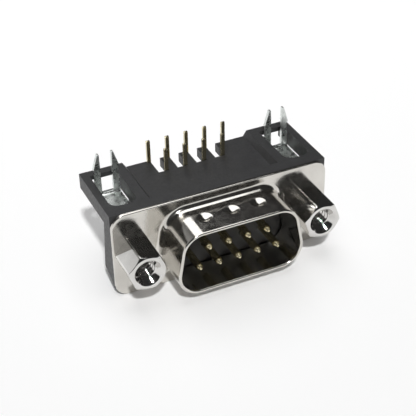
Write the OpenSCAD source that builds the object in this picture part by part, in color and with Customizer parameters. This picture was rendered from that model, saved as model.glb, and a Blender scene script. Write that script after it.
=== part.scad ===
// Right-angle nine-way plug connector for a circuit board.
// Built round the centre of the flange's front face: X across, Y towards the back, Z towards the board.

/* [Interface] */
// Distance between neighbouring pins of one row
pin_pitch = 2.77; // [2.7:0.01:2.85]
// Distance between the two rows of pins
row_gap = 2.84; // [2.7:0.01:2.9]
// Diameter of a mating pin
pin_d = 1.016; // [0.9:0.002:1.1]
// Distance between the two jack socket axes
screw_pitch = 24.99; // [24.8:0.01:25.2]
// Distance between the two rows of solder tails
tail_row_gap = 2.84; // [2.54:0.01:2.9]

/* [Front shell] */
// Thickness of the pressed sheet
sheet_t = 0.45; // [0.35:0.05:0.6]
// Width of the flange
flange_w = 30.81; // [30:0.01:31.5]
// Height of the flange
flange_h = 12.5; // [12:0.05:13]
// Radius of the flange's corners
flange_r = 1.9; // [0.8:0.1:2.6]
// Width inside the D-shaped skirt, on its wide side
mouth_w = 16.92; // [16.8:0.01:17.1]
// Height inside the D-shaped skirt
mouth_h = 8.36; // [8.2:0.01:8.5]
// Corner radius inside the D-shaped skirt
mouth_r = 2.6; // [2:0.1:3]
// Lean of the skirt's two short sides
side_lean = 10; // [5:1:15]
// Length of the skirt in front of the flange
skirt_l = 5.9; // [5:0.1:6.5]
// Radius that blends the skirt into the flange
blend_r = 0.9; // [0.5:0.1:1.2]
// Number of grounding dents in the narrow side
dent_count = 3; // [1:1:3]
// Distance between neighbouring dents
dent_pitch = 3.8; // [3:0.1:4.5]
// Diameter of one dent at the outer surface
dent_d = 1.6; // [1.2:0.1:2]
// Depth of one dent
dent_depth = 0.3; // [0.1:0.05:0.4]

/* [Housing] */
// Distance from the flange's front face to the back of the moulding
housing_back = 11.6; // [11.2:0.1:12.5]
// Distance from the flange's front face to the back of the wall behind it, at the arms
wall_back = 2.7; // [2.6:0.1:3.2]
// Distance by which that wall thickens from the arms down to its bevel
wall_spread = 1; // [0:0.1:1.2]
// Height of the flange that stays bare below the wall
wall_drop = 1.25; // [0:0.05:1.6]
// Height of the bevel along the wall's lower edge
bevel_h = 1.5; // [0:0.05:2]
// Thickness of the two arms that lie on the board
arm_t = 2.2; // [2:0.1:2.6]
// Thickness of the bar that closes each arm's slot at the back
arm_bar_t = 0.65; // [0.5:0.05:1.2]
// Half width of the middle block
block_half_w = 8.75; // [8.6:0.05:9]
// Drop from the arms' seating faces to the middle block's top
block_drop = 0.8; // [0.4:0.1:1]
// Thickness of the middle block's walls
block_wall = 1.2; // [1:0.1:1.3]
// Thickness of the comb that guides the solder tails
comb_t = 1.3; // [1:0.1:1.6]
// Width of a comb slot
comb_slot_w = 1.5; // [1.4:0.05:1.6]
// Distance the insulating front face stands forward of the flange's front face
face_out = 0.3; // [0:0.1:0.6]

/* [Contacts] */
// Distance from the flange's front face to a pin's tip
pin_out = 5.2; // [4.5:0.1:5.4]
// Width of a solder tail
tail_w = 0.5; // [0.4:0.05:0.6]
// Thickness of a solder tail
tail_t = 0.4; // [0.3:0.05:0.5]
// Length of a solder tail beyond the seating faces
tail_out = 2.5; // [2.2:0.1:3.4]
// Radius of the bend in the middle of a contact's thickness
tail_bend_r = 0.8; // [0.6:0.1:1.2]

/* [Jack sockets] */
// Distance across the flats of the hexagon
hex_af = 4.75; // [4.6:0.05:5]
// Length of the hexagon
hex_l = 4.75; // [4.5:0.05:5.2]
// Turn of the hexagon about its own axis
hex_turn = 50; // [0:5:60]
// Diameter of the threaded bore's wall
jack_bore_d = 2.26; // [2.1:0.02:2.4]
// Diameter of the stud's thread
stud_d = 2.8; // [2.7:0.02:2.84]

/* [Board locks] */
// Thickness of the board lock's strip
lock_t = 0.5; // [0.4:0.05:0.6]
// Width of the strip under the arm
lock_w = 3.4; // [3:0.1:3.5]
// Width of the gap between the two prongs
lock_gap = 1.65; // [1.2:0.05:1.7]
// Length of the prongs beyond the seating faces
lock_out = 3.95; // [3.5:0.05:4.4]
// Thickness of the board that the prongs snap behind
board_t = 1.6; // [1.5:0.1:1.7]

/* [Hidden] */
$fn = 64;
eps = 0.01;

// Levels above and below the centre line
seat_z = flange_h / 2;
floor_z = -flange_h / 2;
block_z = seat_z - block_drop;
arm_z = seat_z - arm_t;
wall_z = floor_z + wall_drop;

// D outline: arc centres of the wide and the narrow side, and steps in each arc
d_wide_x = mouth_w / 2 - mouth_r;
d_z = mouth_h / 2 - mouth_r;
d_narrow_x = d_wide_x - 2 * d_z * tan(side_lean);
arc_steps = 8;
turn_steps = 6;

// Clearances
fit = 0.05;
screw_fit = 0.15;
screw_hole_r = stud_d / 2 + screw_fit;
thread_fit = 0.02;
strip_fit = 0.15;
plate_fit = 0.1;

// Contacts: shank pressed into the moulding, and where the rows lie
shank_d = 1.3;
shank_back = 3.2;
core_cover = 0.5;
core_back = shank_back + core_cover;
tail_back_y = housing_back - tail_t / 2;
wide_row_z = -row_gap / 2;
narrow_row_z = row_gap / 2;
tail_tip_z = seat_z + tail_out;
tail_tip_chamfer = 0.12;

// Comb: the slots end just in front of the front row of tails
comb_slot_front = tail_back_y - tail_row_gap - tail_t / 2 - fit;

// Arms: slot over each board lock, step down to the middle block
arm_slot_w = lock_w + 2 * strip_fit;
arm_slot_front = 2.3;
arm_slot_back = 10.4;
slot_front_r = 1.3;
slot_back_r = 0.25;
step_w = 0.55;
rim_back = 2.2;

// Jack sockets
ring_d = 4.6;
mouth_d = 3.85;
mouth_depth = 0.8;
jack_bore_depth = 4.35;
stud_l = 5.4;
stud_tip = 0.3;

// Board locks and clinch nuts
lock_plate_w = 5.6;
lock_plate_low = -2.8;
lock_plate_high = 2.6;
lock_front = arm_slot_front;
lock_back = 9.2;
lock_bend_r = 0.35;
crotch_rise = 0.25;
crotch_z = arm_z + crotch_rise;
prong_neck = 1.62;
prong_barb = 1.78;
prong_tip = 1;
tip_half = 0.12;
barb_rise = 0.15;
prong_taper = 0.2;
lock_hole_r = 1.9;
nut_r = 2.4;
nut_l = 2;
nut_back = lock_front + lock_t + nut_l;

// The whole part stands on its lower edge, centred in plan
shift = [0, -(housing_back - skirt_l) / 2, -floor_z];

module place() {
  translate(shift) children();
}

// Turns a shape drawn in X and Z so that its height runs forwards, along -Y
module facing_front() {
  rotate([90, 0, 0]) children();
}

// Extrudes a shape drawn as [Y, Z] across X, centred
module across(w) {
  rotate([90, 0, 90]) translate([0, 0, -w / 2]) linear_extrude(w) children();
}

// A box from one corner to the other
module block(low, high) {
  translate(low) cube(high - low);
}

// ---- D outline ----

function arc(cx, cz, r, from, to) = [
  for (i = [0 : arc_steps])
    let (a = from + (to - from) * i / arc_steps)
      [cx + r * cos(a), cz + r * sin(a)]
];

// The D outline grown by g from the inside of the skirt, anticlockwise from the front
function d_points(g) = concat(
  arc(d_wide_x, -d_z, mouth_r + g, -90, side_lean),
  arc(d_narrow_x, d_z, mouth_r + g, side_lean, 90),
  arc(-d_narrow_x, d_z, mouth_r + g, 90, 180 - side_lean),
  arc(-d_wide_x, -d_z, mouth_r + g, 180 - side_lean, 270)
);

// ---- Front shell ----

// Section of the skirt's wall as [growth of the D outline, Y]: lap into the flange, blend, wall, rolled rim,
// wall, inner flare, lap
flare_g = sheet_t + blend_r;
lap_g = flare_g + sheet_t / 4;
skirt_section = concat(
  [[lap_g, 0]],
  [for (i = [0 : turn_steps]) let (a = 90 * i / turn_steps)
    [flare_g - blend_r * sin(a), -blend_r + blend_r * cos(a)]],
  [for (i = [0 : turn_steps]) let (a = 180 * i / turn_steps)
    [sheet_t / 2 + sheet_t / 2 * cos(a), -skirt_l + sheet_t / 2 - sheet_t / 2 * sin(a)]],
  [for (i = [turn_steps : -1 : 0]) let (a = 90 * i / turn_steps)
    [flare_g - flare_g * sin(a), -blend_r + flare_g * cos(a)]],
  [[lap_g, sheet_t]]
);

module skirt() {
  ring = [for (s = skirt_section) [for (p = d_points(s[0])) [p[0], s[1], p[1]]]];
  rings = len(ring);
  n = len(ring[0]);
  points = [for (r = ring) for (p = r) p];
  faces = [
    for (i = [0 : rings - 1]) for (j = [0 : n - 1])
      let (i2 = (i + 1) % rings, j2 = (j + 1) % n)
        [i * n + j, i2 * n + j, i2 * n + j2, i * n + j2]
  ];
  polyhedron(points, faces, convexity = 4);
}

module flange() {
  translate([0, sheet_t, 0]) facing_front() linear_extrude(sheet_t) difference() {
    rounded_rectangle(flange_w, flange_h, flange_r);
    polygon(d_points((flare_g + lap_g) / 2));
  }
}

module rounded_rectangle(w, h, r) {
  square([w - 2 * r, h], center = true);
  square([w, h - 2 * r], center = true);
  for (x = [-1, 1], z = [-1, 1])
    translate([x * (w / 2 - r), z * (h / 2 - r)]) circle(r);
}

// Radius of a ball that marks a dent of the given width and depth
dent_ball_r = (pow(dent_d / 2, 2) + pow(dent_depth, 2)) / (2 * dent_depth);
dent_back = 0.6;
dent_y = -(skirt_l + blend_r) / 2 + dent_back;

module at_dents(lift) {
  for (i = [0 : dent_count - 1])
    translate([(i - (dent_count - 1) / 2) * dent_pitch, dent_y, mouth_h / 2 + lift]) children();
}

module screw_holes(r, from, to) {
  for (side = [-1, 1])
    translate([side * screw_pitch / 2, to, 0]) facing_front() cylinder(h = to - from, r = r);
}

module front_shell() {
  color("silver") place() difference() {
    union() {
      flange();
      skirt();
      // the pressed-in side of each dent, cut off at the sheet
      intersection() {
        at_dents(sheet_t - dent_depth + dent_ball_r) sphere(dent_ball_r + sheet_t);
        block([-mouth_w / 2, -skirt_l, mouth_h / 2 - sheet_t], [mouth_w / 2, 0, mouth_h / 2 + sheet_t / 2]);
      }
    }
    at_dents(sheet_t - dent_depth + dent_ball_r) sphere(dent_ball_r);
    screw_holes(screw_hole_r, -1, 1);
  }
}

// ---- Housing ----

// Wall behind the flange, thicker towards the bevel along its lower edge
module wall() {
  across(flange_w) polygon([
    [sheet_t, wall_z], [wall_back + wall_spread, wall_z + bevel_h],
    [wall_back, arm_z], [wall_back, seat_z], [sheet_t, seat_z]
  ]);
}

// Insulating boss that fills the root of the skirt
module boss() {
  translate([0, sheet_t, 0]) facing_front()
    linear_extrude(sheet_t + face_out) polygon(d_points(-fit));
}

module arms() {
  for (side = [-1, 1]) mirror([side < 0 ? 1 : 0, 0, 0])
    block([block_half_w - eps, sheet_t, arm_z], [flange_w / 2, housing_back, seat_z]);
}

// Open-backed box round the contacts, with the comb as its board side
module middle_block() {
  difference() {
    block([-block_half_w, sheet_t, floor_z], [block_half_w, housing_back, block_z]);
    block(
      [-block_half_w + block_wall, core_back, floor_z + block_wall],
      [block_half_w - block_wall, housing_back + 1, block_z - comb_t]
    );
  }
}

// Step from the arms down to the middle block, with sloping flanks
module step_cut() {
  half = block_half_w;
  translate([0, housing_back + 1, 0]) facing_front() linear_extrude(housing_back + 1 - rim_back)
    polygon([
      [-half, block_z], [half, block_z],
      [half + step_w, seat_z], [half + step_w, seat_z + 1],
      [-half - step_w, seat_z + 1], [-half - step_w, seat_z]
    ]);
}

// Slot through each arm, round at the front and nearly square at the back, where a thin bar closes it
module arm_slots() {
  half = arm_slot_w / 2;
  for (side = [-1, 1]) translate([side * screw_pitch / 2, 0, 0])
    block([-half, arm_slot_back - slot_back_r, arm_z - 1], [half, housing_back + 1, seat_z - arm_bar_t]);
  for (side = [-1, 1]) translate([side * screw_pitch / 2, 0, arm_z - eps]) linear_extrude(arm_t + 1) {
    for (m = [-1, 1]) {
      translate([m * (half - slot_front_r), arm_slot_front + slot_front_r]) circle(slot_front_r);
      translate([m * (half - slot_back_r), arm_slot_back - slot_back_r]) circle(slot_back_r);
    }
    translate([slot_front_r - half, arm_slot_front])
      square([arm_slot_w - 2 * slot_front_r, arm_slot_back - arm_slot_front]);
    translate([-half, arm_slot_front + slot_front_r])
      square([arm_slot_w, arm_slot_back - arm_slot_front - slot_front_r - slot_back_r]);
    translate([slot_back_r - half, arm_slot_back - 2 * slot_back_r])
      square([arm_slot_w - 2 * slot_back_r, 2 * slot_back_r]);
  }
}

// Pocket that holds a board lock's plate against the wall
module lock_pockets() {
  half = lock_plate_w / 2 + plate_fit;
  for (side = [-1, 1]) translate([side * screw_pitch / 2, 0, 0])
    block([-half, arm_slot_front, lock_plate_low - plate_fit], [half, wall_back + wall_spread + 1, arm_z]);
}

// Comb slots for the front row of tails, and grooves for the back row
module comb_cuts() {
  low = block_z - comb_t - 1;
  for (i = [0 : 3]) {
    right = narrow_x(i) + tail_w / 2 + fit;
    block([right - comb_slot_w, comb_slot_front, low], [right, housing_back + 1, seat_z]);
  }
  for (i = [0 : 4])
    block(
      [wide_x(i) - tail_w / 2 - fit, housing_back - tail_t - fit, low],
      [wide_x(i) + tail_w / 2 + fit, housing_back + 1, seat_z]
    );
}

module contact_holes() {
  for (c = [0 : 8]) translate([contact_x(c), core_back + 1, contact_z(c)]) facing_front() {
    cylinder(h = core_back + 1 + face_out + 1, d = pin_d + 2 * fit);
    cylinder(h = core_back + 1 - sheet_t, d = shank_d + fit);
  }
}

module housing() {
  color("dimgray") place() difference() {
    union() {
      wall();
      boss();
      arms();
      middle_block();
    }
    step_cut();
    arm_slots();
    lock_pockets();
    comb_cuts();
    contact_holes();
    screw_holes(screw_hole_r, 0, wall_back + wall_spread + 1);
  }
}

// ---- Contacts ----

// X of a contact in the wide row of five, and in the narrow row of four
function wide_x(i) = (i - 2) * pin_pitch;
function narrow_x(i) = (i - 1.5) * pin_pitch;

// Contacts 1 to 5 are the wide row and 6 to 9 the narrow one
function contact_x(c) = c < 5 ? wide_x(c) : narrow_x(c - 5);
function contact_z(c) = c < 5 ? wide_row_z : narrow_row_z;
function contact_y(c) = c < 5 ? tail_back_y : tail_back_y - tail_row_gap;

// Side view of a tail: back along the row, round the bend and up through the board
module tail_profile(row_z, tail_y) {
  half = tail_t / 2;
  bend_y = tail_y - tail_bend_r;
  bend_z = row_z + tail_bend_r;
  translate([shank_back - eps, row_z - half]) square([bend_y - shank_back + eps, tail_t]);
  intersection() {
    translate([bend_y, bend_z]) difference() {
      circle(tail_bend_r + half);
      circle(tail_bend_r - half);
    }
    translate([bend_y, bend_z - 2]) square([2, 2]);
  }
  polygon([
    [tail_y - half, bend_z], [tail_y + half, bend_z],
    [tail_y + half, tail_tip_z - tail_tip_chamfer], [tail_y + half - tail_tip_chamfer, tail_tip_z],
    [tail_y - half + tail_tip_chamfer, tail_tip_z], [tail_y - half, tail_tip_z - tail_tip_chamfer]
  ]);
}

module contact(c) {
  r = pin_d / 2;
  color("goldenrod") place() translate([contact_x(c), 0, 0]) {
    translate([0, 0, contact_z(c)]) {
      translate([0, -pin_out + r, 0]) sphere(r);
      translate([0, 1, 0]) facing_front() cylinder(h = 1 + pin_out - r, r = r);
      translate([0, shank_back, 0]) facing_front() cylinder(h = shank_back - sheet_t, d = shank_d);
    }
    across(tail_w) tail_profile(contact_z(c), contact_y(c));
  }
}

// ---- Jack sockets ----

// Corner of the hexagon, and the length of the turned chamfer that cuts its corners
hex_corner_r = hex_af / 2 / cos(30);
chamfer_slope = 0.6;
hex_chamfer = (hex_corner_r - ring_d / 2) * chamfer_slope;

module jack_socket(side) {
  color("gainsboro") place() translate([side * screw_pitch / 2, 0, 0]) difference() {
    facing_front() union() {
      intersection() {
        rotate(hex_turn) cylinder(h = hex_l, r = hex_corner_r, $fn = 6);
        rotate_extrude() polygon([
          [0, 0], [hex_corner_r, 0], [hex_corner_r + eps, hex_l - hex_chamfer],
          [ring_d / 2, hex_l], [0, hex_l]
        ]);
      }
      rotate_extrude() polygon([
        [0, -stud_l], [stud_d / 2 - stud_tip, -stud_l], [stud_d / 2, -stud_l + stud_tip],
        [stud_d / 2, eps], [0, eps]
      ]);
    }
    facing_front() rotate_extrude() polygon([
      [0, hex_l - jack_bore_depth], [jack_bore_d / 2, hex_l - jack_bore_depth],
      [jack_bore_d / 2, hex_l - mouth_depth], [mouth_d / 2, hex_l],
      [mouth_d / 2, hex_l + 1], [0, hex_l + 1]
    ]);
  }
}

// ---- Board locks ----

// Side view of the strip: up the plate, back under the arm and up into the prongs
module strip_profile(top) {
  r = lock_bend_r;
  low = arm_z - lock_t;
  outer = r + lock_t;
  translate([lock_front, lock_plate_high - eps]) square([lock_t, low - r - lock_plate_high + eps]);
  translate([lock_front + outer, low]) square([lock_back - lock_front - 2 * outer, lock_t]);
  translate([lock_back - lock_t, arm_z + r]) square([lock_t, top - arm_z - r]);
  intersection() {
    translate([lock_front + outer, low - r]) difference() {
      circle(outer);
      circle(r);
    }
    translate([lock_front, low - r]) square(outer);
  }
  intersection() {
    translate([lock_back - outer, arm_z + r]) difference() {
      circle(outer);
      circle(r);
    }
    translate([lock_back - outer, arm_z + r - outer]) square(outer);
  }
}

// One prong seen from the front: neck through the board, barb behind it, point
module prong() {
  barb_z = seat_z + board_t;
  tip_z = seat_z + lock_out;
  polygon([
    [lock_gap / 2, arm_z], [lock_w / 2, arm_z], [lock_w / 2, seat_z - prong_taper],
    [prong_neck, seat_z + prong_taper], [prong_neck, barb_z], [prong_barb, barb_z + barb_rise],
    [prong_tip + tip_half, tip_z], [prong_tip - tip_half, tip_z], [lock_gap / 2, barb_z]
  ]);
}

module board_lock(side) {
  color("lightgray") place() translate([side * screw_pitch / 2, 0, 0]) {
    difference() {
      block(
        [-lock_plate_w / 2, lock_front, lock_plate_low],
        [lock_plate_w / 2, lock_front + lock_t, lock_plate_high]
      );
      translate([0, lock_front + 1, 0]) facing_front() cylinder(h = 2, r = lock_hole_r);
    }
    difference() {
      across(lock_w) strip_profile(seat_z);
      block([-lock_gap / 2, lock_back - lock_t - 1, crotch_z], [lock_gap / 2, lock_back + 1, seat_z + 1]);
    }
    for (m = [0, 1]) mirror([m, 0, 0]) intersection() {
      translate([0, lock_back, 0]) facing_front() linear_extrude(lock_t) prong();
      block([0, 0, arm_z + lock_bend_r], [lock_plate_w, housing_back, seat_z + lock_out + 1]);
    }
  }
}

// ---- Clinch nuts ----

// Shank pressed into the board lock's plate, and the collar behind it
module clinch_nut(side) {
  shank_y = lock_front + lock_t;
  color("darkgray") place() translate([side * screw_pitch / 2, 0, 0]) difference() {
    union() {
      translate([0, nut_back, 0]) facing_front() cylinder(h = nut_back - shank_y, r = nut_r);
      translate([0, nut_back, 0]) facing_front()
        cylinder(h = nut_back - lock_front, r = lock_hole_r - thread_fit);
    }
    translate([0, nut_back + 1, 0]) facing_front()
      cylinder(h = nut_back + 2, r = stud_d / 2 + thread_fit);
  }
}

front_shell();
housing();
contact(0);  // contact_1
contact(1);  // contact_2
contact(2);  // contact_3
contact(3);  // contact_4
contact(4);  // contact_5
contact(5);  // contact_6
contact(6);  // contact_7
contact(7);  // contact_8
contact(8);  // contact_9
jack_socket(-1);  // jack_socket_left
jack_socket(1);  // jack_socket_right
board_lock(-1);  // board_lock_left
board_lock(1);  // board_lock_right
clinch_nut(-1);  // clinch_nut_left
clinch_nut(1);  // clinch_nut_right
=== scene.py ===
"""Looks of a right-angle D-sub plug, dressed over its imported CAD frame. Lengths in MM are millimetres."""

import math

import bmesh
import bpy
from mathutils import Matrix, Vector

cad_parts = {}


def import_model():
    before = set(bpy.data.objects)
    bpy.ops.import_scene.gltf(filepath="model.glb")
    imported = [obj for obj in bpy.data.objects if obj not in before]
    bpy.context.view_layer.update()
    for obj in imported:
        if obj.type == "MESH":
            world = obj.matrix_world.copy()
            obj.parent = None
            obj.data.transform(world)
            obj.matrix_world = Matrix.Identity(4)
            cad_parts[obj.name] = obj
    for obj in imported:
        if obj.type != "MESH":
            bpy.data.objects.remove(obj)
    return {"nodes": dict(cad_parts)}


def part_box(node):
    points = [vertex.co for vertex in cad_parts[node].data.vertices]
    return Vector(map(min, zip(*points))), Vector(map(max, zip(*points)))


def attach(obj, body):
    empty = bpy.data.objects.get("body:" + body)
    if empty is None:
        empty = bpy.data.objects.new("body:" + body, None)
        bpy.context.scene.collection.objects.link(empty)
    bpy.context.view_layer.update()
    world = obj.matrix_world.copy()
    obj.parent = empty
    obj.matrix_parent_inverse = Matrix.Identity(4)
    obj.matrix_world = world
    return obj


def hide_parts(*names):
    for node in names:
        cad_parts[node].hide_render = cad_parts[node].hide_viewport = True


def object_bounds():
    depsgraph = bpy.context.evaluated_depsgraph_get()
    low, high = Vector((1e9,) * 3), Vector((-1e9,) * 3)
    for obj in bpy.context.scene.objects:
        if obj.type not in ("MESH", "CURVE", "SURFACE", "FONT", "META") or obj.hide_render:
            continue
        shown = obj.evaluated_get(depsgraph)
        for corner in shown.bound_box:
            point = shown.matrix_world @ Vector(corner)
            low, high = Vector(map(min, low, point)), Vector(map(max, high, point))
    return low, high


MM = 0.001

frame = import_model()
cad_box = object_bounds()

# ---- Sizes that the frame's boxes don't give, in millimetres ----

SHEET_T = 0.45
MOUTH_W = 16.92
MOUTH_H = 8.36
MOUTH_R = 2.6
SIDE_LEAN = math.radians(10)
BLEND_R = 0.9
FLANGE_R = 1.9
SCREW_PITCH = 24.99
SCREW_HOLE_R = 1.55
DENT_PITCH = 3.8
DENT_R = 1.05
DENT_DEPTH = 0.3
DENT_BACK = 0.6
CORNER_STEPS = 18
WALL_STEPS = 40
FLANGE_EASE = 0.16
FLANGE_BURR = 0.05

HEX_AF = 4.75
HEX_TURN = math.radians(50)
RING_R = 2.3
BORE_MOUTH_R = 1.925
BORE_MOUTH_L = 0.8
BORE_R = 1.13
BORE_L = 4.35
STUD_R = 1.4
THREAD_PITCH = 0.635
THREAD_DEPTH = 0.3
THREAD_START = 0.35
LEAD_L = 0.3
CHAMFER_SLOPE = 0.6
SEAT_BREAK = 0.12
SEAT_SLOPE = 1.2
SEAT_R = 2.0
CENTRE_R = 0.02
STUD_END_IN = 0.35
STUD_STEP = 0.08
BORE_STEP = 0.045
TURN_STEPS = 144

PIN_R = 0.508
PIN_NOSE_L = 0.75
PIN_NOSE_R = 0.2
PIN_CUT = 0.1
PIN_TIP_L = 0.12
PIN_TIP_FLAT = 0.12
PIN_NOSE_POWER = 1.7
PIN_STEPS = 40

HOUSING_EASE = 0.07
CONTACT_EASE = 0.05
STRIP_EASE = 0.06
NUT_EASE = 0.1

# ---- Places, from the frame ----

shell_low, shell_high = (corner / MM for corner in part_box("front_shell"))
FLANGE_Y = shell_high.y - SHEET_T
SKIRT_L = FLANGE_Y - shell_low.y
FLANGE_W = shell_high.x - shell_low.x
FLANGE_H = shell_high.z - shell_low.z
CENTRE_Z = (shell_high.z + shell_low.z) / 2


def at(x, forward, z):
    """A frame point from its place across, forwards of the flange and above the centre line."""
    return Vector((x, FLANGE_Y - forward, CENTRE_Z + z)) * MM


# ---- Meshes ----


def finish_mesh(bm, name, sharp=35):
    """Turns a bmesh into a piece with smooth faces and sharp creases."""
    bmesh.ops.recalc_face_normals(bm, faces=bm.faces)
    for face in bm.faces:
        face.smooth = True
    for edge in bm.edges:
        if len(edge.link_faces) == 2:
            edge.smooth = edge.calc_face_angle(0) < math.radians(sharp)
    mesh = bpy.data.meshes.new(name)
    bm.to_mesh(mesh)
    bm.free()
    piece = bpy.data.objects.new(name, mesh)
    bpy.context.scene.collection.objects.link(piece)
    weighted = piece.modifiers.new("weighted_normals", "WEIGHTED_NORMAL")
    weighted.keep_sharp = True
    return piece


def bridge(bm, ring_a, ring_b):
    """Joins two closed rings of as many vertices with quads."""
    n = len(ring_a)
    for i in range(n):
        j = (i + 1) % n
        bm.faces.new((ring_a[i], ring_a[j], ring_b[j], ring_b[i]))


def ring_edges(bm, ring):
    """The edges of a closed ring of vertices, made where they are missing."""
    edges = []
    for i, vert in enumerate(ring):
        other = ring[(i + 1) % len(ring)]
        edges.append(bm.edges.get((vert, other)) or bm.edges.new((vert, other)))
    return edges


def circle(cx, r, steps=48):
    """Points of a circle about a centre on the middle line."""
    return [
        (
            cx + r * math.cos(2 * math.pi * i / steps),
            r * math.sin(2 * math.pi * i / steps),
        )
        for i in range(steps)
    ]


def eased_mesh(node, width):
    """A copy of a CAD node's mesh with flat faces joined and its sharp edges eased by width."""
    bm = bmesh.new()
    bm.from_mesh(frame["nodes"][node].data)
    bmesh.ops.remove_doubles(bm, verts=bm.verts, dist=0.0005 * MM)
    bmesh.ops.dissolve_limit(
        bm, angle_limit=math.radians(0.5), verts=bm.verts, edges=bm.edges
    )
    sharp = [
        edge
        for edge in bm.edges
        if len(edge.link_faces) == 2 and edge.calc_face_angle(0) > math.radians(40)
    ]
    bmesh.ops.bevel(
        bm,
        geom=sharp,
        offset=width * MM,
        offset_type="OFFSET",
        segments=2,
        profile=0.5,
        affect="EDGES",
        clamp_overlap=True,
    )
    return bm


def eased_copy(node, width):
    """An eased copy of a CAD node, standing for it."""
    piece = finish_mesh(eased_mesh(node, width), node + "_skin", sharp=50)
    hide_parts(node)
    return piece


# ---- Contacts ----


def pin_rings(pin_out):
    """Rings from a pin's cut to its bullet nose, as (distance forwards, radius)."""
    rings = [(PIN_CUT, PIN_R), (pin_out - PIN_NOSE_L, PIN_R)]
    span = PIN_R - PIN_NOSE_R
    for i in range(1, 9):
        t = i / 8
        rings.append(
            (
                pin_out - PIN_NOSE_L + (PIN_NOSE_L - PIN_TIP_L) * t,
                PIN_R - span * t**PIN_NOSE_POWER,
            )
        )
    for i in range(1, 6):
        a = math.pi / 2 * i / 5
        rings.append(
            (
                pin_out - PIN_TIP_L + PIN_TIP_L * math.sin(a),
                PIN_NOSE_R * (PIN_TIP_FLAT + (1 - PIN_TIP_FLAT) * math.cos(a)),
            )
        )
    return rings


def contact(node):
    """A CAD contact with eased edges and its pin turned anew with a bullet's nose."""
    low, high = (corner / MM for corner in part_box(node))
    bm = eased_mesh(node, CONTACT_EASE)
    cut = at(0, PIN_CUT, 0)
    bmesh.ops.bisect_plane(
        bm,
        geom=bm.verts[:] + bm.edges[:] + bm.faces[:],
        plane_co=cut,
        plane_no=(0, -1, 0),
        clear_outer=True,
    )
    bmesh.ops.holes_fill(bm, edges=[edge for edge in bm.edges if edge.is_boundary])
    front = [vert.co / MM for vert in bm.verts if abs(vert.co.y - cut.y) < 0.001 * MM]
    centre_x = (min(v.x for v in front) + max(v.x for v in front)) / 2
    centre_z = (min(v.z for v in front) + max(v.z for v in front)) / 2 - CENTRE_Z
    rings = []
    for forward, r in pin_rings(FLANGE_Y - low.y):
        rings.append(
            [
                bm.verts.new(at(centre_x + x, forward, centre_z + z))
                for x, z in circle(0, r, PIN_STEPS)
            ]
        )
    for a, b in zip(rings, rings[1:]):
        bridge(bm, a, b)
    bm.faces.new(rings[0])
    bm.faces.new(rings[-1])
    piece = finish_mesh(bm, node + "_skin", sharp=50)
    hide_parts(node)
    return piece


# ---- Front shell ----


def d_outline():
    """Points and outward normals of the D inside the skirt, in steps fine enough for the dents."""
    wide_x = MOUTH_W / 2 - MOUTH_R
    high = MOUTH_H / 2 - MOUTH_R
    narrow_x = wide_x - 2 * high * math.tan(SIDE_LEAN)
    lean = SIDE_LEAN
    corners = [
        (wide_x, -high, -math.pi / 2, lean),
        (narrow_x, high, lean, math.pi / 2),
        (-narrow_x, high, math.pi / 2, math.pi - lean),
        (-wide_x, -high, math.pi - lean, 1.5 * math.pi),
    ]
    side_steps = [12, 84, 12, 28]
    outline = []
    for k, (cx, cz, start, end) in enumerate(corners):
        for i in range(CORNER_STEPS + 1):
            a = start + (end - start) * i / CORNER_STEPS
            normal = (math.cos(a), math.sin(a))
            outline.append(
                ((cx + MOUTH_R * normal[0], cz + MOUTH_R * normal[1]), normal)
            )
        (x0, z0), normal = outline[-1]
        next_x, next_z = corners[(k + 1) % 4][:2]
        x1 = next_x + MOUTH_R * normal[0]
        z1 = next_z + MOUTH_R * normal[1]
        for i in range(1, side_steps[k]):
            t = i / side_steps[k]
            outline.append(((x0 + (x1 - x0) * t, z0 + (z1 - z0) * t), normal))
    return outline


def skirt_section():
    """The pressed sheet's section as (growth of the D, distance forwards of the flange's face)."""
    flare = SHEET_T + BLEND_R
    half = SHEET_T / 2
    wall_front = SKIRT_L - half
    blend = [
        (flare - BLEND_R * math.sin(a), BLEND_R - BLEND_R * math.cos(a))
        for a in (math.pi / 2 * i / 12 for i in range(13))
    ]
    outer = [
        (SHEET_T, BLEND_R + (wall_front - BLEND_R) * i / WALL_STEPS)
        for i in range(1, WALL_STEPS)
    ]
    rim = [
        (half + half * math.cos(a), wall_front + half * math.sin(a))
        for a in (math.pi * i / 12 for i in range(13))
    ]
    inner = [
        (0, wall_front + (BLEND_R - wall_front) * i / WALL_STEPS)
        for i in range(1, WALL_STEPS)
    ]
    flared = [
        (flare - flare * math.sin(a), BLEND_R - flare * math.cos(a))
        for a in (math.pi / 2 * i / 12 for i in range(12, -1, -1))
    ]
    return blend + outer + rim + inner + flared


def dent_drop(x, forward):
    """How far the sheet is pressed in at a place on the narrow side."""
    middle = (SKIRT_L + BLEND_R) / 2 - DENT_BACK
    drop = 0.0
    for i in (-1, 0, 1):
        away = math.hypot(x - i * DENT_PITCH, forward - middle) / DENT_R
        if away < 1:
            drop += DENT_DEPTH * (1 - away * away) ** 2
    return drop


def rounded_rectangle(inset):
    """Outline of the flange, drawn in by inset."""
    r = FLANGE_R - inset
    w = FLANGE_W / 2 - FLANGE_R
    h = FLANGE_H / 2 - FLANGE_R
    points = []
    for cx, cz, start in ((w, -h, -0.5), (w, h, 0), (-w, h, 0.5), (-w, -h, 1)):
        for i in range(13):
            a = math.pi * (start + 0.5 * i / 12)
            points.append((cx + r * math.cos(a), cz + r * math.sin(a)))
    return points


def flange_edge():
    """The flange's cut edge as (inset, distance forwards), eased at the front by the press."""
    front = [
        (FLANGE_EASE - FLANGE_EASE * math.sin(a), -FLANGE_EASE + FLANGE_EASE * math.cos(a))
        for a in (math.pi / 2 * i / 5 for i in range(6))
    ]
    return front + [(0, -SHEET_T + FLANGE_BURR), (FLANGE_BURR, -SHEET_T)]


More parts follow.
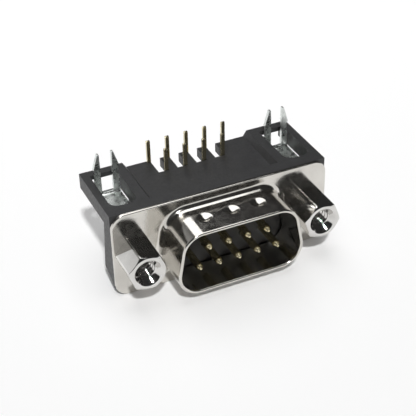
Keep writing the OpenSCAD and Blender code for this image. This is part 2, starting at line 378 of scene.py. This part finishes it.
def front_shell():
    """The pressed sheet: the skirt's rings, the flange's edge and its faces between the holes."""
    bm = bmesh.new()
    outline = d_outline()
    rings = []
    for grow, forward in skirt_section():
        ring = []
        for (x, z), (nx, nz) in outline:
            px, pz = x + nx * grow, z + nz * grow
            if nz > 0.99 and forward > 0:
                pz -= dent_drop(px, forward)
            ring.append(bm.verts.new(at(px, forward, pz)))
        rings.append(ring)
    for a, b in zip(rings, rings[1:]):
        bridge(bm, a, b)

    edges = []
    for inset, forward in flange_edge():
        edges.append(
            [bm.verts.new(at(x, forward, z)) for x, z in rounded_rectangle(inset)]
        )
    for a, b in zip(edges, edges[1:]):
        bridge(bm, a, b)

    holes = []
    for side in (-1, 1):
        points = circle(side * SCREW_PITCH / 2, SCREW_HOLE_R)
        front = [bm.verts.new(at(x, 0, z)) for x, z in points]
        back = [bm.verts.new(at(x, -SHEET_T, z)) for x, z in points]
        bridge(bm, front, back)
        holes.append((front, back))

    for outer, inner, k in ((edges[0], rings[0], 0), (edges[-1], rings[-1], 1)):
        loops = [outer, inner] + [hole[k] for hole in holes]
        boundary = [edge for loop in loops for edge in ring_edges(bm, loop)]
        bmesh.ops.triangle_fill(bm, edges=boundary, use_beauty=True)
    piece = finish_mesh(bm, "front_shell_skin")
    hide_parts("front_shell")
    return piece


# ---- Jack sockets ----


def soft_min(values, blend=0.03):
    """The least of some lengths, rounded over where two are nearly equal."""
    low = min(values)
    return low - blend * math.log(sum(math.exp((low - v) / blend) for v in values))


def hex_radius(angle):
    """Distance from the axis to the hexagon's side at an angle."""
    sides = []
    for k in range(6):
        lean = math.cos(angle - HEX_TURN - math.pi / 6 - k * math.pi / 3)
        if lean > 0.4:
            sides.append(HEX_AF / 2 / lean)
    return soft_min(sides)


def thread(angle, forward):
    """Depth into the thread's groove, from 0 at a crest to 1 at a root."""
    turn = (forward / THREAD_PITCH + angle / (2 * math.pi)) % 1
    return min(1, max(0, 1.25 * (1 - abs(2 * turn - 1)) - 0.12))


def jack_rings(hex_l, stud_l):
    """Rings from the stud's end to the bore's end, as (distance forwards, radius at an angle)."""
    corner = HEX_AF / 2 / math.cos(math.pi / 6)
    chamfer_l = (corner - RING_R) * CHAMFER_SLOPE
    slope = (corner - RING_R) / chamfer_l

    def stud(forward):
        lead = min(1, (forward + stud_l) / LEAD_L)
        return lambda a: (
            STUD_R - THREAD_DEPTH * (1 - lead) - THREAD_DEPTH * lead * thread(a, forward)
        )

    def body(forward):
        cone = RING_R + (hex_l - forward) * slope
        seat = corner - SEAT_BREAK + forward * SEAT_SLOPE
        return lambda a: soft_min([hex_radius(a), cone, seat])

    def bore(forward):
        into = min(1, (hex_l - BORE_MOUTH_L - forward) / LEAD_L)
        depth = THREAD_DEPTH * (THREAD_START + (1 - THREAD_START) * into)
        return lambda a: BORE_R + depth * thread(a, forward)

    def plain(r):
        return lambda a: r

    rings = [(-stud_l, plain(CENTRE_R)), (-stud_l, plain(STUD_R - STUD_END_IN))]
    steps = round(stud_l / STUD_STEP)
    for i in range(steps):
        forward = -stud_l + (stud_l - 0.05) * i / steps
        rings.append((forward, stud(forward)))
    rings.append((0, plain(STUD_R)))
    rings.append((0, plain(SEAT_R)))
    for i in range(13):
        forward = 0.02 + i / 12 * 0.2
        rings.append((forward, body(forward)))
    for i in range(1, 9):
        forward = 0.22 + (hex_l - 1.1 - 0.22) * i / 8
        rings.append((forward, body(forward)))
    for i in range(1, 45):
        forward = hex_l - 1.1 + 1.08 * i / 44
        rings.append((forward, body(forward)))
    rings.append((hex_l, plain(RING_R - 0.06)))
    rings.append((hex_l, plain(BORE_MOUTH_R + 0.05)))
    for i in range(1, 7):
        t = i / 6
        rings.append(
            (
                hex_l - 0.02 - (BORE_MOUTH_L - 0.02) * t,
                plain(BORE_MOUTH_R + (BORE_R + 0.1 - BORE_MOUTH_R) * t),
            )
        )
    steps = round((BORE_L - BORE_MOUTH_L) / BORE_STEP)
    for i in range(1, steps + 1):
        forward = hex_l - BORE_MOUTH_L - (BORE_L - BORE_MOUTH_L) * i / steps
        rings.append((forward, bore(forward)))
    rings.append((hex_l - BORE_L - 0.1, plain(CENTRE_R)))
    return rings


def jack_socket(node):
    """A turned jack socket with threads in its bore and on its stud."""
    low, high = (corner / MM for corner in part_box(node))
    centre_x = (low.x + high.x) / 2
    hex_l = FLANGE_Y - low.y
    stud_l = high.y - FLANGE_Y
    angles = [2 * math.pi * i / TURN_STEPS for i in range(TURN_STEPS)]
    bm = bmesh.new()
    rings = []
    for forward, radius in jack_rings(hex_l, stud_l):
        rings.append(
            [
                bm.verts.new(
                    at(
                        centre_x + radius(a) * math.cos(a),
                        forward,
                        radius(a) * math.sin(a),
                    )
                )
                for a in angles
            ]
        )
    for a, b in zip(rings, rings[1:]):
        bridge(bm, a, b)
    bm.faces.new(rings[0])
    bm.faces.new(rings[-1])
    piece = finish_mesh(bm, node + "_skin", sharp=50)
    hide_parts(node)
    return piece


# ---- Materials ----

NOISE_LOW = 0.3
NOISE_HIGH = 0.7
MOTTLE_PER_MM = 0.35
SHINE_PER_MM = 1.6
SCRATCH_PER_MM = 6.0
SCRATCH_MM = 0.0006
WAVE_PER_MM = 0.15


class Nodes:
    """Short calls for one material's node tree."""

    def __init__(self, name):
        self.material = bpy.data.materials.new(name)
        self.material.use_nodes = True
        self.tree = self.material.node_tree
        self.shader = self.tree.nodes["Principled BSDF"]
        self.place = self.tree.nodes.new("ShaderNodeTexCoord").outputs["Object"]

    def link(self, output, socket):
        self.tree.links.new(output, socket)

    def noise(self, per_mm, detail=3.0, stretch=(1, 1, 1)):
        mapping = self.tree.nodes.new("ShaderNodeMapping")
        mapping.inputs["Scale"].default_value = [s * per_mm / MM for s in stretch]
        self.link(self.place, mapping.inputs["Vector"])
        noise = self.tree.nodes.new("ShaderNodeTexNoise")
        noise.inputs["Scale"].default_value = 1.0
        noise.inputs["Detail"].default_value = detail
        self.link(mapping.outputs["Vector"], noise.inputs["Vector"])
        return noise.outputs["Fac"]

    def ramp(self, value, low, high):
        """Colours from low to high over the middle of a noise."""
        ramp = self.tree.nodes.new("ShaderNodeValToRGB")
        ramp.color_ramp.elements[0].position = NOISE_LOW
        ramp.color_ramp.elements[1].position = NOISE_HIGH
        ramp.color_ramp.elements[0].color = (*low, 1)
        ramp.color_ramp.elements[1].color = (*high, 1)
        self.link(value, ramp.inputs["Fac"])
        return ramp.outputs["Color"]

    def spread(self, value, low, high):
        """Numbers from low to high over the middle of a noise."""
        spread = self.tree.nodes.new("ShaderNodeMapRange")
        spread.inputs["From Min"].default_value = NOISE_LOW
        spread.inputs["From Max"].default_value = NOISE_HIGH
        spread.inputs["To Min"].default_value = low
        spread.inputs["To Max"].default_value = high
        self.link(value, spread.inputs["Value"])
        return spread.outputs["Result"]

    def bump(self, value, depth_mm, after=None):
        bump = self.tree.nodes.new("ShaderNodeBump")
        bump.inputs["Strength"].default_value = 1.0
        bump.inputs["Distance"].default_value = depth_mm * MM
        self.link(value, bump.inputs["Height"])
        if after is not None:
            self.link(after, bump.inputs["Normal"])
        return bump.outputs["Normal"]


def plated(name, low, high, rough, wave_mm=0.0):
    """Bright plating over pressed or turned metal: slow waves, fine scratches and a mottled shine."""
    n = Nodes(name)
    n.shader.inputs["Metallic"].default_value = 1.0
    mottle = n.noise(MOTTLE_PER_MM, 4.0)
    n.link(n.ramp(mottle, low, high), n.shader.inputs["Base Color"])
    n.link(
        n.spread(n.noise(SHINE_PER_MM, 5.0), rough * 0.7, rough * 1.4),
        n.shader.inputs["Roughness"],
    )
    normal = n.bump(n.noise(SCRATCH_PER_MM, 2.0, (0.3, 1, 1)), SCRATCH_MM)
    if wave_mm:
        normal = n.bump(n.noise(WAVE_PER_MM, 1.0), wave_mm, after=normal)
    n.link(normal, n.shader.inputs["Normal"])
    return n.material


def moulded(name, low, high, rough):
    """Glass-filled black moulding: a fine grain, faint flow marks and an uneven satin."""
    n = Nodes(name)
    n.link(n.ramp(n.noise(0.5, 5.0), low, high), n.shader.inputs["Base Color"])
    n.link(
        n.spread(n.noise(2.2, 4.0), rough - 0.07, rough + 0.08),
        n.shader.inputs["Roughness"],
    )
    n.shader.inputs["IOR"].default_value = 1.5
    grain = n.bump(n.noise(9.0, 3.0), 0.006)
    n.link(n.bump(n.noise(0.25, 1.0), 0.02, after=grain), n.shader.inputs["Normal"])
    return n.material


MATERIALS = {
    "nickel_shell": plated(
        "nickel_shell", (0.6, 0.58, 0.54), (0.7, 0.68, 0.64), 0.13, wave_mm=0.05
    ),
    "black_plastic": moulded(
        "black_plastic", (0.017, 0.017, 0.018), (0.024, 0.024, 0.025), 0.46
    ),
    "plated_contact": plated(
        "plated_contact", (0.58, 0.52, 0.34), (0.72, 0.66, 0.46), 0.18
    ),
    "bright_nickel": plated(
        "bright_nickel", (0.62, 0.61, 0.59), (0.72, 0.71, 0.69), 0.09
    ),
    "tinned_strip": plated(
        "tinned_strip", (0.62, 0.65, 0.63), (0.74, 0.77, 0.75), 0.26, wave_mm=0.02
    ),
    "dull_nickel": plated(
        "dull_nickel", (0.42, 0.4, 0.36), (0.55, 0.53, 0.48), 0.33
    ),
}


def dress(piece, slot):
    """Gives a piece its material and makes it ride with the connector."""
    piece.data.materials.clear()
    piece.data.materials.append(MATERIALS[slot])
    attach(piece, "root")


# ---- Stage: floor, light and camera ----

FLOOR_COLOUR = (0.93, 0.93, 0.93)
FLOOR_GLOW = 0.04
FLOOR_HALF = 1.5
FLOOR_DROP = 0.00002
ROOM_LIGHT = 0.03
WALL_LIGHT = 0.3
KEY_FROM = (-0.17, -0.6, 0.78)
KEY_STRENGTH = 2.3
KEY_ANGLE = 4
SOFTBOX_OVER = (0.018, 0.1425)
SOFTBOX_HEIGHT = 0.3
SOFTBOX_SIZE = (0.216, 0.465)
SOFTBOX_RADIANCE = 1.8
CAMERA_TURN = (-24.2, 34.74, -1.45)
CAMERA_DISTANCE = 145.33
CAMERA_SHIFT = (-1.949, 2.59)
CAMERA_LENS = 95.29


def white_where_seen(tree, surface, strength):
    """Adds plain light to what the camera, a mirror or a lens sees, over a surface shader."""
    path = tree.nodes.new("ShaderNodeLightPath")
    seen = tree.nodes.new("ShaderNodeMath")
    seen.operation = "MAXIMUM"
    tree.links.new(path.outputs["Is Camera Ray"], seen.inputs[0])
    tree.links.new(path.outputs["Is Glossy Ray"], seen.inputs[1])
    also = tree.nodes.new("ShaderNodeMath")
    also.operation = "MAXIMUM"
    tree.links.new(seen.outputs[0], also.inputs[0])
    tree.links.new(path.outputs["Is Transmission Ray"], also.inputs[1])
    level = tree.nodes.new("ShaderNodeMath")
    level.operation = "MULTIPLY"
    level.inputs[1].default_value = strength
    tree.links.new(also.outputs[0], level.inputs[0])
    glow = tree.nodes.new("ShaderNodeEmission")
    glow.inputs["Color"].default_value = (1, 1, 1, 1)
    tree.links.new(level.outputs[0], glow.inputs["Strength"])
    both = tree.nodes.new("ShaderNodeAddShader")
    tree.links.new(surface, both.inputs[0])
    tree.links.new(glow.outputs[0], both.inputs[1])
    return both.outputs[0]


def floor():
    mesh = bpy.data.meshes.new("floor")
    half = FLOOR_HALF
    mesh.from_pydata(
        [(-half, -half, 0), (half, -half, 0), (half, half, 0), (-half, half, 0)],
        [],
        [(0, 1, 2, 3)],
    )
    plane = bpy.data.objects.new("floor", mesh)
    plane.location.z = cad_box[0].z - FLOOR_DROP
    bpy.context.scene.collection.objects.link(plane)
    n = Nodes("floor")
    n.shader.inputs["Base Color"].default_value = (*FLOOR_COLOUR, 1)
    n.shader.inputs["Roughness"].default_value = 0.9
    n.shader.inputs["Specular IOR Level"].default_value = 0.0
    output = n.tree.nodes["Material Output"]
    lit = white_where_seen(n.tree, n.shader.outputs[0], FLOOR_GLOW)
    n.link(lit, output.inputs["Surface"])
    mesh.materials.append(n.material)


def world():
    """A dim room: white along the horizon like the floor, and a grey wall at the back left."""
    scene = bpy.context.scene
    scene.world = bpy.data.worlds.new("room")
    scene.world.use_nodes = True
    tree = scene.world.node_tree
    direction = tree.nodes.new("ShaderNodeTexCoord").outputs["Generated"]

    def lobe(axis, start, end, low, high):
        """Numbers from low to high as the view turns towards an axis."""
        along = tree.nodes.new("ShaderNodeVectorMath")
        along.operation = "DOT_PRODUCT"
        along.inputs[1].default_value = Vector(axis).normalized()
        tree.links.new(direction, along.inputs[0])
        step = tree.nodes.new("ShaderNodeMapRange")
        step.interpolation_type = "SMOOTHSTEP"
        step.inputs["From Min"].default_value = start
        step.inputs["From Max"].default_value = end
        step.inputs["To Min"].default_value = low
        step.inputs["To Max"].default_value = high
        tree.links.new(along.outputs["Value"], step.inputs["Value"])
        return step.outputs["Result"]

    def add(a, b):
        total = tree.nodes.new("ShaderNodeMath")
        total.operation = "ADD"
        tree.links.new(a, total.inputs[0])
        tree.links.new(b, total.inputs[1])
        return total.outputs[0]

    horizon = lobe((0, 0, 1), 0.1, 0.2, 0.95, 0.0)
    wall = lobe((-0.62, 0.75, 0.25), 0.75, 1.0, ROOM_LIGHT, WALL_LIGHT)
    back = tree.nodes["Background"]
    tree.links.new(add(horizon, wall), back.inputs["Strength"])
    back.inputs["Color"].default_value = (1, 1, 1, 1)


def softbox(name, place, target, size, radiance):
    """A rectangular light whose face shines at the given radiance."""
    data = bpy.data.lights.new(name, "AREA")
    data.shape = "RECTANGLE"
    data.size, data.size_y = size
    data.energy = radiance * math.pi * size[0] * size[1]
    lamp = bpy.data.objects.new(name, data)
    lamp.location = place
    aim = Vector(target) - Vector(place)
    lamp.rotation_mode = "QUATERNION"
    lamp.rotation_quaternion = aim.to_track_quat("-Z", "Y")
    bpy.context.scene.collection.objects.link(lamp)


def key_light():
    """A lamp small enough to draw the shadows' edges, high up in front."""
    data = bpy.data.lights.new("key", "SUN")
    data.energy = KEY_STRENGTH
    data.angle = math.radians(KEY_ANGLE)
    lamp = bpy.data.objects.new("key", data)
    lamp.rotation_mode = "QUATERNION"
    lamp.rotation_quaternion = Vector(KEY_FROM).to_track_quat("Z", "Y")
    bpy.context.scene.collection.objects.link(lamp)


def camera():
    """The camera, turned about the flange's middle and shifted across its own view."""
    azimuth, elevation, roll = (math.radians(v) for v in CAMERA_TURN)
    back = Vector(
        (
            math.sin(azimuth) * math.cos(elevation),
            -math.cos(azimuth) * math.cos(elevation),
            math.sin(elevation),
        )
    )
    level = Vector((0, 0, 1)).cross(back).normalized()
    rise = back.cross(level)
    right = level * math.cos(roll) + rise * math.sin(roll)
    up = rise * math.cos(roll) - level * math.sin(roll)
    shift = right * CAMERA_SHIFT[0] + up * CAMERA_SHIFT[1]
    place = at(0, 0, 0) + (shift + back * CAMERA_DISTANCE) * MM
    data = bpy.data.cameras.new("camera")
    data.lens = CAMERA_LENS
    data.sensor_width = 36
    data.clip_start = 0.005
    data.clip_end = 10
    cam = bpy.data.objects.new("camera", data)
    axes = Matrix((right, up, back)).transposed().to_4x4()
    cam.matrix_world = Matrix.Translation(place) @ axes
    bpy.context.scene.collection.objects.link(cam)
    bpy.context.scene.camera = cam


# ---- The object ----

dress(front_shell(), "nickel_shell")
dress(eased_copy("housing", HOUSING_EASE), "black_plastic")
for number in range(1, 10):
    dress(contact(f"contact_{number}"), "plated_contact")
for side in ("left", "right"):
    dress(jack_socket("jack_socket_" + side), "bright_nickel")
    dress(eased_copy("board_lock_" + side, STRIP_EASE), "tinned_strip")
    dress(eased_copy("clinch_nut_" + side, NUT_EASE), "dull_nickel")

camera()
floor()
world()
key_light()
softbox(
    "overhead",
    (*SOFTBOX_OVER, SOFTBOX_HEIGHT),
    (*SOFTBOX_OVER, 0),
    SOFTBOX_SIZE,
    SOFTBOX_RADIANCE,
)
bpy.context.scene.view_settings.view_transform = "Standard"
